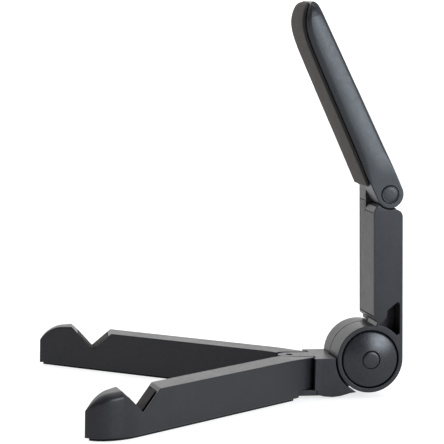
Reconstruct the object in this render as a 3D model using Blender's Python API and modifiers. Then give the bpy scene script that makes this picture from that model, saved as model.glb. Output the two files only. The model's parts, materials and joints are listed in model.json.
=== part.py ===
"""Folding photo album stand: two compass legs with V notches, a half-lap hub and a two-part back arm.

Frame: +Z up, +X across the stand, the legs open towards -Y and the arm stands up at the back.
The origin is on the underside of the foot pad, below the base block. All lengths are in metres.
"""
import math

import bmesh
import bpy
from mathutils import Matrix, Vector

MM = 0.001
GAP = 0.3 * MM                     # running gap between neighbouring pieces

# overall
WIDTH = 26.0 * MM                  # across the block, the arms and the two closed legs
HALF = WIDTH / 2
SEAM_X = -1.8 * MM                 # plane where the half-lap cheeks meet

# hub
HUB = Vector((0.0, 15.0 * MM, 18.4 * MM))
HUB_R = 16.0 * MM
HUB_POCKET_R = 13.9 * MM
HUB_POCKET_FLOOR_X = 5.5 * MM
HUB_CLEAR_R = HUB_R + 0.55 * MM
CAP_R = 13.4 * MM
CAP_DOME = 2.2 * MM
PLUG_R = 4.05 * MM
BOLT_R = 2.4 * MM

# base block
BLOCK_TOP = 19.1 * MM
BLOCK_FRONT = -25.4 * MM           # front wall, measured from the hub axis
FLANGE_R = 5.5 * MM
FLANGE_T = 2.6 * MM
LOW_PLATE_Z = 1.4 * MM
LOW_PLATE_T = 2.8 * MM
LOW_PLATE_HALF = 12.4 * MM
LOW_PLATE_REACH = 6.5 * MM         # how far its full width runs forward of the block
FOOT_SEAT_Z = 2.2 * MM             # roof of the pocket the foot pad sits in

# legs
PIVOT_Y = HUB.y - 36.4 * MM
LEG_OPEN = {"leg_right": math.radians(37.9), "leg_left": math.radians(38.6)}
LEG_T = 12.9 * MM
LEG_TOP = 19.5 * MM
LEG_BOTTOM = 1.1 * MM
LEG_LENGTH = 138.9 * MM
LEG_ROOT_R = 10.6 * MM
NOTCH_SKEW = math.radians(32.0)    # keeps both notches nearly in line when the legs are open
NOTCH_REAR = 97.4 * MM
NOTCH_LOW = (107.9 * MM, 10.5 * MM)
NOTCH_FRONT = 118.6 * MM
NOSE_CENTRE = (124.3 * MM, 2.8 * MM)
NOSE_R = 17.6 * MM                 # the nose in front of the notch is a low dome from the side
PAD_DEPTH = 1.0 * MM               # how deep the notch pads are let into the slopes
PAD_STAND = 0.25 * MM              # how far they stand proud
SOLE_INSET = 0.9 * MM
SOLE_SEAT_Z = 2.3 * MM
TIP_SWEEP = 20.0 * MM              # length over which the outer face curves in to the tip
KNUCKLE_R = 5.4 * MM
KNUCKLE_CLEAR = FLANGE_R + 0.4 * MM
KNUCKLE_Z = {"leg_right": (11.4 * MM, 16.2 * MM), "leg_left": (4.5 * MM, 10.4 * MM)}
LEG_HEEL = 6.2 * MM                # the leg is cut away below from here back, over the low plate
PIVOT_PIN_R = 1.5 * MM

# lower arm, measured from the hub axis
LEAN = math.radians(1.7)
ARM_FRONT = 2.0 * MM
ARM_BACK = HUB_R
WALL = 1.5 * MM
UPPER_PIVOT = (9.75 * MM, 78.15 * MM)
COVER_T = 1.7 * MM
COVER_LOW = 19.9 * MM
COVER_TOP_NEAR = 69.6 * MM
COVER_TOP_FAR = 74.2 * MM
TAB_TOP = 81.5 * MM
NECK_FRONT = 3.6 * MM

# upper arm, measured from its own pivot
UPPER_LEAN = math.radians(26.2)
UPPER_KNUCKLE_R = 6.6 * MM
UPPER_CLEAR_R = 8.8 * MM
UPPER_PIN_R = 4.05 * MM
GRIP_T = 1.3 * MM
GRIP_HALF = 11.6 * MM

SEGMENTS = 48

parts = None
cutters = None


def start_scene():
    global parts, cutters
    for ob in list(bpy.data.objects):
        bpy.data.objects.remove(ob, do_unlink=True)
    parts = bpy.data.collections.new("album_stand")
    cutters = bpy.data.collections.new("cutters")
    for group in (parts, cutters):
        bpy.context.scene.collection.children.link(group)


def material(name, colour, roughness, metallic=0.0):
    mat = bpy.data.materials.new(name)
    mat.use_nodes = True
    shader = mat.node_tree.nodes["Principled BSDF"]
    shader.inputs["Base Color"].default_value = (*colour, 1.0)
    shader.inputs["Roughness"].default_value = roughness
    shader.inputs["Metallic"].default_value = metallic
    return mat


def make_materials():
    charcoal = (0.055, 0.056, 0.06)
    return {
        "shell": material("charcoal_plastic", charcoal, 0.5),
        "cover": material("cover_plastic", (0.07, 0.07, 0.072), 0.45),
        "rubber": material("grip_rubber", (0.09, 0.085, 0.08), 0.8),
        "steel": material("pin_steel", (0.55, 0.55, 0.56), 0.3, 1.0),
        "spring": material("spring_steel", (0.4, 0.4, 0.42), 0.35, 1.0),
        "nylon": material("washer_nylon", (0.6, 0.6, 0.57), 0.5),
    }


def arc(centre, radius, start, end, count=16):
    """Points on an arc about centre, angles in degrees, both ends included."""
    step = math.radians(end - start) / count
    first = math.radians(start)
    return [(centre[0] + radius * math.cos(first + i * step),
             centre[1] + radius * math.sin(first + i * step)) for i in range(count + 1)]


def mesh_object(name, mesh, group):
    ob = bpy.data.objects.new(name, mesh)
    group.objects.link(ob)
    return ob


def change_mesh(mesh, matrix=None, weld=False):
    """Move a mesh's points, weld them if asked, and leave it closed with its faces pointing out."""
    bm = bmesh.new()
    bm.from_mesh(mesh)
    if weld:
        bmesh.ops.remove_doubles(bm, verts=bm.verts, dist=0.00001)
    if matrix is not None:
        bm.transform(matrix)
    bmesh.ops.recalc_face_normals(bm, faces=bm.faces)
    if bm.calc_volume(signed=True) < 0:
        bmesh.ops.reverse_faces(bm, faces=bm.faces)
    bm.to_mesh(mesh)
    bm.free()


def prism(name, outline, low, high, plane="YZ", group=None):
    """A flat outline given in plane, run along the third axis from low to high, as a welded mesh."""
    curve = bpy.data.curves.new(name, "CURVE")
    curve.dimensions = "2D"
    curve.fill_mode = "BOTH"
    curve.extrude = (high - low) / 2
    spline = curve.splines.new("POLY")
    spline.points.add(len(outline) - 1)
    for point, (u, v) in zip(spline.points, outline):
        point.co = (u, v, 0.0, 1.0)
    spline.use_cyclic_u = True
    flat = mesh_object(name + "_outline", curve, cutters)
    middle = (low + high) / 2
    if plane == "YZ":
        turn = Matrix(((0, 0, 1, middle), (1, 0, 0, 0), (0, 1, 0, 0), (0, 0, 0, 1)))
    else:
        turn = Matrix.Translation((0.0, 0.0, middle))
    bpy.context.view_layer.update()
    mesh = bpy.data.meshes.new_from_object(flat.evaluated_get(bpy.context.evaluated_depsgraph_get()))
    bpy.data.objects.remove(flat, do_unlink=True)
    change_mesh(mesh, turn, weld=True)
    mesh.name = name
    return mesh_object(name, mesh, group or cutters)


def cylinder(name, centre, radius, low, high, axis="X", group=None, segments=SEGMENTS, top_radius=None):
    """A cylinder or cone about a line through centre, from low to high along axis."""
    bm = bmesh.new()
    bmesh.ops.create_cone(bm, cap_ends=True, segments=segments, radius1=radius,
                          radius2=radius if top_radius is None else top_radius, depth=high - low)
    turn = Matrix.Rotation(math.pi / 2, 4, "Y") if axis == "X" else Matrix.Identity(4)
    place = Vector(centre)
    place["XYZ".index(axis)] = (low + high) / 2
    bm.transform(Matrix.Translation(place) @ turn)
    mesh = bpy.data.meshes.new(name)
    bm.to_mesh(mesh)
    bm.free()
    return mesh_object(name, mesh, group or cutters)


def box(name, low, high, group=None):
    bm = bmesh.new()
    bmesh.ops.create_cube(bm, size=1.0)
    size = Vector(high) - Vector(low)
    bm.transform(Matrix.Translation((Vector(low) + Vector(high)) / 2) @ Matrix.Diagonal((*size, 1.0)))
    mesh = bpy.data.meshes.new(name)
    bm.to_mesh(mesh)
    bm.free()
    return mesh_object(name, mesh, group or cutters)


def turned(name, profile, centre, group=None, segments=SEGMENTS):
    """A solid turned about the X line through centre, from (x, radius) pairs closed on the axis or on themselves."""
    mesh = bpy.data.meshes.new(name)
    count = len(profile)
    closed = all(radius > 0 for _, radius in profile)
    edges = [(i, i + 1) for i in range(count - 1)] + ([(count - 1, 0)] if closed else [])
    mesh.from_pydata([(radius, 0.0, -x) for x, radius in profile], edges, [])
    ob = mesh_object(name, mesh, group or parts)
    screw = ob.modifiers.new("turn", "SCREW")
    screw.steps = segments
    screw.render_steps = segments
    screw.use_merge_vertices = True
    screw.merge_threshold = 0.00001
    ob.matrix_world = Matrix.Translation(centre) @ Matrix.Rotation(-math.pi / 2, 4, "Y")
    return ob


def cut(ob, tool, operation="DIFFERENCE"):
    tool.hide_render = True
    tool.display_type = "WIRE"
    modifier = ob.modifiers.new(operation.lower(), "BOOLEAN")
    modifier.operation = operation
    modifier.solver = "EXACT"
    modifier.object = tool


def join(ob, tool):
    cut(ob, tool, "UNION")


def bevel(ob, width, segments=2):
    modifier = ob.modifiers.new("edges", "BEVEL")
    modifier.width = width
    modifier.segments = segments
    modifier.limit_method = "ANGLE"
    modifier.angle_limit = math.radians(50)


def finish(ob, mat, parent=None, smooth=True):
    ob.data.materials.clear()
    ob.data.materials.append(mat)
    if smooth:
        ob.data.shade_smooth()
        ob.data.set_sharp_from_angle(angle=math.radians(32))
    if ob.name not in parts.objects:
        parts.objects.link(ob)
    for group in list(ob.users_collection):
        if group is not parts:
            group.objects.unlink(ob)
    if parent is not None:
        ob.parent = parent


def empty(name, location, rotation=(0.0, 0.0, 0.0)):
    ob = bpy.data.objects.new(name, None)
    ob.location = location
    ob.rotation_euler = rotation
    parts.objects.link(ob)
    return ob


# ------------------------------------------------------------------ base block and hub hardware

def block_outline():
    """Side outline of the block from its front wall to the hub line, measured from the hub axis and the floor."""
    foot = [(-24.0, 1.3), (-22.5, 1.1), (-13.5, 1.1), (-11.0, 1.9), (-9.0, 2.8), (0.0, 3.2)]
    points = [(BLOCK_FRONT, BLOCK_TOP), (BLOCK_FRONT, LOW_PLATE_Z)]
    points += [(u * MM, v * MM) for u, v in foot]
    points.append((0.0, BLOCK_TOP))
    return [(u + HUB.y, v) for u, v in points]


def flange(name, low, high, shoulder=None):
    """A tongue with a round end that holds the leg pivot, reaching forward from the block, with wider shoulders
    behind it if asked."""
    front_wall = HUB.y + BLOCK_FRONT
    root = front_wall + 2 * MM
    tongue = arc((0.0, PIVOT_Y), FLANGE_R, 0, -180, 20)
    if shoulder is None:
        outline = [(FLANGE_R, root)] + tongue + [(-FLANGE_R, root)]
    else:
        half, reach = shoulder
        near = [(half, root), (half, front_wall - reach + MM), (half - MM, front_wall - reach)]
        outline = near + tongue + [(-x, y) for x, y in reversed(near)]
    return prism(name, outline, low, high, "XY")


def base_block(mats):
    drum_face = SEAM_X - GAP / 2
    ob = prism("base_block", block_outline(), -HALF, HALF, group=parts)
    cut(ob, cylinder("arm_ring_space", HUB, HUB_CLEAR_R, drum_face, HALF + MM, segments=64))
    join(ob, cylinder("drum", HUB, HUB_R, -HALF, drum_face, segments=64))
    join(ob, flange("top_flange", BLOCK_TOP - FLANGE_T, BLOCK_TOP))
    join(ob, flange("low_plate", LOW_PLATE_Z, LOW_PLATE_Z + LOW_PLATE_T, (LOW_PLATE_HALF, LOW_PLATE_REACH)))
    pivot = (0.0, PIVOT_Y, 0.0)
    cut(ob, cylinder("pivot_bore", pivot, PIVOT_PIN_R + GAP, 0.0, 20 * MM, "Z", segments=24))
    cut(ob, cylinder("rivet_seat", pivot, 3.0 * MM, 0.0, LOW_PLATE_Z + 1.3 * MM, "Z", segments=32))
    cut(ob, cylinder("bolt_bore", HUB, BOLT_R + GAP, -HALF - MM, 0.0, segments=32))
    cut(ob, cylinder("nut_pocket", HUB, 5.0 * MM, -HALF - MM, -8.2 * MM, segments=32))
    cut(ob, cylinder("far_cap_seat", HUB, 10.3 * MM, -HALF - MM, -HALF + 1.5 * MM))
    cut(ob, cylinder("friction_seat", HUB, 11.3 * MM, drum_face - 1.2 * MM, 0.0))
    cut(ob, box("foot_seat", (-8.3 * MM, -3.1 * MM, -MM), (8.3 * MM, 3.1 * MM, FOOT_SEAT_Z)))
    finish(ob, mats["shell"])


def foot_pad(mats):
    ob = box("foot_pad", (-8 * MM, -2.8 * MM, 0.0), (8 * MM, 2.8 * MM, FOOT_SEAT_Z - GAP), parts)
    bevel(ob, 0.3 * MM)
    finish(ob, mats["rubber"])


def leg_pivot(mats):
    """A headed rivet up through both flanges, with a thin washer between the two leg knuckles."""
    pin_top = BLOCK_TOP - 0.2 * MM
    head_top = LOW_PLATE_Z + 1.0 * MM
    ob = cylinder("leg_pivot_rivet", (0.0, PIVOT_Y, 0.0), PIVOT_PIN_R, head_top - 0.2 * MM, pin_top, "Z",
                  parts, 24)
    join(ob, cylinder("rivet_head", (0.0, PIVOT_Y, 0.0), 2.6 * MM, LOW_PLATE_Z - 0.1 * MM, head_top, "Z",
                      segments=32))
    finish(ob, mats["steel"])
    low = KNUCKLE_Z["leg_left"][1] + GAP
    high = KNUCKLE_Z["leg_right"][0] - GAP
    washer = cylinder("leg_pivot_washer", (0.0, PIVOT_Y, 0.0), KNUCKLE_R - 0.2 * MM, low, high, "Z", parts, 32)
    cut(washer, cylinder("washer_bore", (0.0, PIVOT_Y, 0.0), PIVOT_PIN_R + GAP, 0.0, 20 * MM, "Z", segments=24))
    finish(washer, mats["nylon"])


def ring(name, inner, outer, low, high, centre, mat, parent=None):
    ob = cylinder(name, centre, outer, low, high, group=parts)
    cut(ob, cylinder(name + "_bore", centre, inner, low - MM, high + MM, segments=32))
    finish(ob, mat, parent)
    return ob


def hub_hardware(mats):
    """The bolt through the hub with its nut, washers, spring, friction disc and covers."""
    drum_face = SEAM_X - GAP / 2
    head_low = 9.2 * MM
    bolt = cylinder("hub_bolt", HUB, BOLT_R, -11.2 * MM, head_low + 0.5 * MM, group=parts, segments=32)
    join(bolt, cylinder("bolt_head", HUB, 4.4 * MM, head_low, 11.4 * MM, segments=32))
    finish(bolt, mats["steel"])

    nut = cylinder("hub_nut", HUB, 4.6 * MM, -11.2 * MM, -8.5 * MM, group=parts, segments=6)
    cut(nut, cylinder("nut_bore", HUB, BOLT_R + 0.25 * MM, -13 * MM, -7 * MM, segments=32))
    finish(nut, mats["steel"], smooth=False)

    ring("hub_friction_disc", 3.0 * MM, 11.0 * MM, drum_face - 0.9 * MM, drum_face, HUB, mats["nylon"])
    floor = HUB_POCKET_FLOOR_X
    ring("hub_thrust_washer", BOLT_R + GAP, 7.5 * MM, floor + GAP, floor + 1.4 * MM, HUB, mats["steel"])

    inner, outer, sheet = BOLT_R + 0.4 * MM, 6.2 * MM, 0.6 * MM
    low = floor + 1.7 * MM
    cone = [(low, outer), (low + sheet, outer), (low + sheet + 1.1 * MM, inner), (low + 1.1 * MM, inner)]
    finish(turned("hub_cone_spring", cone, HUB), mats["spring"])

    finish(cylinder("hub_far_cap", HUB, 10.0 * MM, -HALF + 0.1 * MM, -HALF + 1.2 * MM, group=parts), mats["shell"])

    rim = HALF - 0.2 * MM
    plug = [(11.7 * MM, 0.0), (11.7 * MM, PLUG_R)]
    plug += [(rim + dome_height(PLUG_R * k / 4) + 0.1 * MM, PLUG_R * k / 4) for k in (4, 2, 0)]
    finish(turned("hub_pin_plug", plug, HUB), mats["shell"])


def dome_height(radius):
    """Height of the domed cap above its rim at a distance from the hub axis."""
    return CAP_DOME * (1 - (radius / CAP_R) ** 2)


def hub_cap(mats):
    rim = HALF - 0.2 * MM
    hole = PLUG_R + GAP
    wall = 1.6 * MM
    steps = 8
    radii = [CAP_R + (hole - CAP_R) * i / steps for i in range(steps + 1)]
    outside = [(rim - 2.6 * MM, CAP_R)] + [(rim + dome_height(r), r) for r in radii]
    inside = [(rim + dome_height(r) - wall, r) for r in reversed(radii[1:])]
    inside.append((rim - 2.6 * MM, CAP_R - wall))
    ob = turned("hub_cap", outside + inside, HUB)
    finish(ob, mats["shell"])


# ------------------------------------------------------------------ legs

def leg_plan(name):
    """Plan of a leg as (along, outward) from the pivot, with the inner face on the pivot plane."""
    inner = 0.2 * MM
    tip = (LEG_LENGTH - TIP_SWEEP, inner)
    sweep = [(tip[0] + TIP_SWEEP * math.sin(math.radians(a)),
              inner + (LEG_T - inner) * math.cos(math.radians(a))) for a in range(90, -1, -6)]
    root_turn = 180 - math.degrees(LEG_OPEN[name])
    root = arc((0.0, 0.0), LEG_ROOT_R, 118, root_turn - 1.5, 8)
    heel = [(4.0, 0.0), (2.2, 0.1), (0.4, 0.45), (-1.4, 1.1), (-3.2, 2.1)]
    return [(inner, inner)] + sweep + [(s * MM, LEG_T - fall * MM) for s, fall in heel] + root


def skewed_prism(name, outline, low, high, skew):
    """An (along, up) outline run outward from low to high, leaning forward by skew as it goes outward."""
    ob = prism(name, outline, low, high, "XY")
    swap = Matrix(((1, 0, math.tan(skew), 0), (0, 0, 1, 0), (0, 1, 0, 0), (0, 0, 0, 1)))
    change_mesh(ob.data, swap)
    return ob


def notch_outline():
    low_s, low_z = NOTCH_LOW
    sky = LEG_TOP + 4 * MM
    rear_run = (low_s - NOTCH_REAR) / (LEG_TOP - low_z)
    front_run = (NOTCH_FRONT - low_s) / (LEG_TOP - low_z)
    above = sky - low_z
    return [(low_s, low_z), (low_s + front_run * above, sky), (low_s - rear_run * above, sky)]


def top_outline():
    """Everything above the flat top and above the domed nose, to be cut away."""
    sky = LEG_TOP + 4 * MM
    flat = [(-30 * MM, LEG_TOP), (NOTCH_LOW[0], LEG_TOP)]
    nose = arc(NOSE_CENTRE, NOSE_R, 134, 20, 20)
    return flat + nose + [(nose[-1][0] + 9 * MM, nose[-1][1]), (nose[-1][0] + 9 * MM, sky), (-30 * MM, sky)]


def slope_band(low, high, rear_part, front_part):
    """A V that follows both slopes of the notch, between two heights measured square to the slopes."""
    low_s, low_z = NOTCH_LOW
    rear = Vector((NOTCH_REAR - low_s, LEG_TOP - low_z))
    front = Vector((NOTCH_FRONT - low_s, LEG_TOP - low_z))
    rise = 1 / math.sin(front.angle(rear) / 2)
    rear_out = Vector((rear.y, -rear.x)).normalized()
    front_out = Vector((-front.y, front.x)).normalized()
    base = Vector(NOTCH_LOW)
    points = [base + Vector((0.0, low * rise)), base + front * front_part + front_out * low,
              base + front * front_part + front_out * high, base + Vector((0.0, high * rise)),
              base + rear * rear_part + rear_out * high, base + rear * rear_part + rear_out * low]
    return [tuple(p) for p in points]


def to_leg_frame(ob, side):
    """Turn (along, outward, up) into the pivot empty's axes: along is -Y, outward is +X or -X."""
    turn = Matrix(((0, side, 0, 0), (-1, 0, 0, 0), (0, 0, 1, 0), (0, 0, 0, 1)))
    change_mesh(ob.data, turn)


def leg(name, side, mats):
    opened = LEG_OPEN[name]
    pivot = empty(name + "_pivot", (0.0, PIVOT_Y, 0.0), (0.0, 0.0, side * opened))
    own_low, own_high = KNUCKLE_Z[name]
    root = (0.0, 0.0, 0.0)
    body = prism(name, leg_plan(name), LEG_BOTTOM, LEG_TOP + 2 * MM, "XY", parts)
    shapers = [skewed_prism(name + "_top", top_outline(), -24 * MM, 24 * MM, NOTCH_SKEW)]
    shapers.append(skewed_prism(name + "_notch", notch_outline(), -12 * MM, 24 * MM, NOTCH_SKEW))
    trough = slope_band(-PAD_DEPTH, 3 * MM, 0.85, 0.83)
    shapers.append(skewed_prism(name + "_grip_seat", trough, 0.8 * MM, LEG_T - 0.9 * MM, NOTCH_SKEW))
    tools = []
    for label, low, high in (("below", 0.0, own_low), ("above", own_high, 24 * MM)):
        tools.append(cylinder(f"{name}_space_{label}", root, KNUCKLE_CLEAR, low, high, "Z", segments=40))
    # room over the low plate, and beside the top flange, which runs straight back when the leg is open
    tools.append(box(name + "_heel_space", (-16 * MM, -20 * MM, 0.0),
                     (LEG_HEEL, 20 * MM, LOW_PLATE_Z + LOW_PLATE_T + GAP)))
    strip = box(name + "_strip", (-16 * MM, -KNUCKLE_CLEAR, BLOCK_TOP - FLANGE_T - GAP),
                (0.0, KNUCKLE_CLEAR, 24 * MM))
    change_mesh(strip.data, Matrix.Rotation(-opened, 4, "Z"))
    tools.append(strip)
    sweep_start = LEG_LENGTH - TIP_SWEEP
    sole_room = [(9 * MM, SOLE_INSET), (sweep_start, SOLE_INSET)]
    sole_room += [(sweep_start + (TIP_SWEEP - 2.4 * MM) * math.sin(math.radians(a)),
                   SOLE_INSET + (LEG_T - 2 * SOLE_INSET) * math.cos(math.radians(a))) for a in range(85, -1, -5)]
    sole_room.append((9 * MM, LEG_T - SOLE_INSET))
    tools.append(prism(name + "_sole_seat", sole_room, -MM, SOLE_SEAT_Z, "XY"))
    core = [(16 * MM, 2.6 * MM), (92 * MM, 2.6 * MM), (92 * MM, LEG_T - 2.2 * MM), (16 * MM, LEG_T - 2.2 * MM)]
    tools.append(prism(name + "_core", core, 0.0, LEG_TOP - 2.2 * MM, "XY"))
    knuckle = cylinder(name + "_knuckle", root, KNUCKLE_R, own_low, own_high, "Z", segments=40)
    bore = cylinder(name + "_bore", root, PIVOT_PIN_R + GAP, 0.0, 24 * MM, "Z", segments=24)
    pad = slope_band(GAP - PAD_DEPTH, PAD_STAND, 0.82, 0.8)
    grip = skewed_prism(name + "_grip", pad, 1.1 * MM, LEG_T - 1.6 * MM, NOTCH_SKEW)
    sole = prism(name + "_sole", inset(sole_room, GAP), 0.0, SOLE_SEAT_Z - GAP, "XY")
    for ob in [body, knuckle, bore, grip, sole] + tools + shapers:
        to_leg_frame(ob, side)
    for ob in [knuckle, bore] + tools + shapers:
        ob.parent = pivot
    for tool in tools:
        cut(body, tool)
    join(body, knuckle)
    for tool in [bore] + shapers:
        cut(body, tool)
    finish(body, mats["shell"], pivot)
    finish(grip, mats["rubber"], pivot, smooth=False)
    finish(sole, mats["rubber"], pivot, smooth=False)


def inset(outline, distance):
    """Move each point of a convex outline towards its middle by a set distance along both axes."""
    mid_u = (min(u for u, _ in outline) + max(u for u, _ in outline)) / 2
    mid_v = (min(v for _, v in outline) + max(v for _, v in outline)) / 2
    half_u = max(u for u, _ in outline) - mid_u
    half_v = max(v for _, v in outline) - mid_v
    return [(mid_u + (u - mid_u) * (1 - distance / half_u), mid_v + (v - mid_v) * (1 - distance / half_v))
            for u, v in outline]


# ------------------------------------------------------------------ lower arm

def near_cheek_outline():
    """Near half of the lower arm: hub ring, column and the hollow that clears the upper knuckle."""
    clear = UPPER_KNUCKLE_R + 0.5 * MM
    hollow = [p for p in arc(UPPER_PIVOT, clear, 222, 292, 12)]
    ring_part = arc((0.0, 0.0), HUB_R, 0, -280, 44)
    neck = [(NECK_FRONT, 17.6 * MM), (ARM_FRONT + 0.2 * MM, 18.6 * MM), (ARM_FRONT, COVER_LOW - 0.3 * MM)]
    top = [(ARM_FRONT, 70.6 * MM), (ARM_FRONT + 1.0 * MM, 72.4 * MM)]
    back = arc((ARM_BACK - 3.6 * MM, 67.3 * MM), 3.6 * MM, 80, 0, 8)
    return ring_part + neck + top + hollow + back


def far_half_outline():
    """Far half of the lower arm above the drum, ending in the tab that carries the upper pivot."""
    clear = HUB_R + 0.45 * MM
    start = math.degrees(math.acos(NECK_FRONT / clear))
    end = math.degrees(math.acos((ARM_BACK - 0.05 * MM) / clear))
    under = arc((0.0, 0.0), clear, end, start, 12)
    neck = [(NECK_FRONT, 17.6 * MM), (ARM_FRONT + 0.2 * MM, 18.6 * MM), (ARM_FRONT, COVER_LOW - 0.3 * MM)]
    tab = [(ARM_FRONT, TAB_TOP - 0.8 * MM), (ARM_FRONT + 0.8 * MM, TAB_TOP)]
    round_top = arc(UPPER_PIVOT, ARM_BACK - UPPER_PIVOT[0], 110, 0, 12)
    return under + neck + tab + round_top


def window_outline():
    """Five-sided window above the ring, with its lower edge following the ring."""
    edge = arc((0.0, 0.0), 17.0 * MM, 74, 41, 8)
    points = [(14.2, 11.6), (14.45, 12.4), (14.45, 25.6), (14.0, 26.7), (13.2, 26.6), (8.5, 22.9), (8.2, 19.6)]
    return edge + [(u * MM, v * MM) for u, v in points]


def lower_arm(mats):
    pivot = empty("hub_axis", HUB, (LEAN, 0.0, 0.0))
    axis = (0.0, 0.0, 0.0)
    near_face = SEAM_X + GAP / 2
    far_face = SEAM_X - GAP / 2
    body = prism("lower_arm", near_cheek_outline(), near_face, HALF, group=parts)
    far_half = prism("lower_arm_far_half", far_half_outline(), -HALF, near_face)
    tools = [cylinder("cap_pocket", axis, HUB_POCKET_R, HUB_POCKET_FLOOR_X, HALF + MM, segments=64)]
    tools.append(cylinder("arm_bolt_bore", axis, BOLT_R + GAP, -5 * MM, 10 * MM, segments=32))
    inner_front, inner_back = ARM_FRONT - MM, ARM_BACK - WALL
    tools.append(box("arm_core", (-HALF + WALL, inner_front, 21.5 * MM), (HALF - WALL, inner_back, 64.5 * MM)))
    side = 0.9 * MM
    tools.append(box("cover_seat", (-HALF + side, inner_front, COVER_LOW),
                     (HALF - side, ARM_FRONT + COVER_T + GAP, COVER_TOP_NEAR)))
    tools.append(box("cover_step_seat", (-HALF + side, inner_front, COVER_LOW),
                     (far_face - 1.2 * MM, ARM_FRONT + COVER_T + GAP, COVER_TOP_FAR)))
    tools.append(prism("window", window_outline(), 3.0 * MM, HALF + MM))
    pin = (0.0, *UPPER_PIVOT)
    tools.append(cylinder("tab_bore", pin, BOLT_R + GAP, -HALF - MM, 0.0, segments=32))
    tools.append(cylinder("tab_nut_seat", pin, 4.9 * MM, -HALF - MM, -8.4 * MM, segments=32))
    knuckle_room = cylinder("knuckle_room", pin, UPPER_KNUCKLE_R + 0.5 * MM, far_face, HALF + MM)
    for height, label in ((30.0, "lower"), (58.0, "upper")):
        mid = (0.0, 0.0, height * MM)
        boss = y_cylinder(f"screw_boss_{label}", mid, 3.0 * MM, ARM_FRONT + COVER_T + 2 * GAP, ARM_BACK - 0.5 * MM)
        hole = y_cylinder(f"screw_hole_{label}", mid, 1.3 * MM, 0.0, 20 * MM, 24)
        sink = y_cylinder(f"screw_sink_{label}", mid, 2.3 * MM, ARM_BACK - 2.2 * MM, 20 * MM, 24)
        tools.append((boss, "UNION"))
        tools += [hole, sink]
        screw = y_cylinder(f"cover_screw_{label}", mid, 1.0 * MM, ARM_FRONT + COVER_T - 0.9 * MM,
                           ARM_BACK - 1.9 * MM, 20, parts)
        head = y_cylinder(f"screw_head_{label}", mid, 2.0 * MM, ARM_BACK - 1.9 * MM, ARM_BACK - 0.5 * MM, 24)
        head.parent = pivot
        join(screw, head)
        finish(screw, mats["steel"], pivot)
    far_half.parent = pivot
    join(body, far_half)
    for tool in tools + [knuckle_room]:
        ob, operation = tool if isinstance(tool, tuple) else (tool, "DIFFERENCE")
        ob.parent = pivot
        cut(body, ob, operation)
    finish(body, mats["shell"], pivot)

    cover_x = HALF - side - GAP
    cover = box("lower_arm_cover", (-cover_x, ARM_FRONT, COVER_LOW + GAP),
                (cover_x, ARM_FRONT + COVER_T, COVER_TOP_NEAR - GAP), parts)
    step = box("cover_step", (-cover_x, ARM_FRONT, COVER_TOP_NEAR - 2 * MM),
               (far_face - 1.2 * MM - GAP, ARM_FRONT + COVER_T, COVER_TOP_FAR - GAP))
    step.parent = pivot
    join(cover, step)
    for height, label in ((30.0, "lower"), (58.0, "upper")):
        socket = y_cylinder(f"cover_socket_{label}", (0.0, 0.0, height * MM), 1.3 * MM,
                            ARM_FRONT + COVER_T - 1.1 * MM, 20 * MM, 24)
        socket.parent = pivot
        cut(cover, socket)
    finish(cover, mats["cover"], pivot, smooth=False)
    return pivot


def y_cylinder(name, centre, radius, low, high, segments=32, group=None):
    """A cylinder along Y from low to high."""
    ob = cylinder(name, (0.0, 0.0, 0.0), radius, low, high, "Z", group, segments)
    turn = Matrix(((1, 0, 0, centre[0]), (0, 0, 1, 0), (0, -1, 0, centre[2]), (0, 0, 0, 1)))
    change_mesh(ob.data, turn)
    return ob


# ------------------------------------------------------------------ upper arm

def upper_front():
    """Front line of the upper arm, bottom to top, as (back, up) from its pivot."""
    line = [(-6.5, 6.0), (-6.05, 30.0), (-5.5, 62.0), (-5.2, 76.0), (-4.8, 82.0)]
    curve = [(-4.1, 86.6), (-2.9, 90.2), (-1.2, 93.0), (0.9, 95.1), (3.0, 96.3)]
    return [(u * MM, v * MM) for u, v in line + curve]


def upper_outline():
    crown = [(4.6, 96.6), (5.8, 95.6), (6.3, 93.4), (6.45, 86.0), (6.9, 40.0), (7.05, 18.0), (6.75, 6.0)]
    knuckle = arc((0.0, 0.0), UPPER_KNUCKLE_R, 0, -186, 24)
    return upper_front() + [(u * MM, v * MM) for u, v in crown] + knuckle


def offset_line(line, distance):
    """Shift an open line sideways, to the left of its direction."""
    moved = []
    for i, point in enumerate(line):
        ahead = Vector(line[min(i + 1, len(line) - 1)]) - Vector(line[max(i - 1, 0)])
        normal = Vector((-ahead.y, ahead.x)).normalized()
        moved.append(tuple(Vector(point) + normal * distance))
    return moved


def grip_strip_outline():
    line = [(-6.46 * MM, 7.8 * MM)] + upper_front()[1:]
    return offset_line(line, GAP) + list(reversed(offset_line(line, GAP + GRIP_T)))


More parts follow.
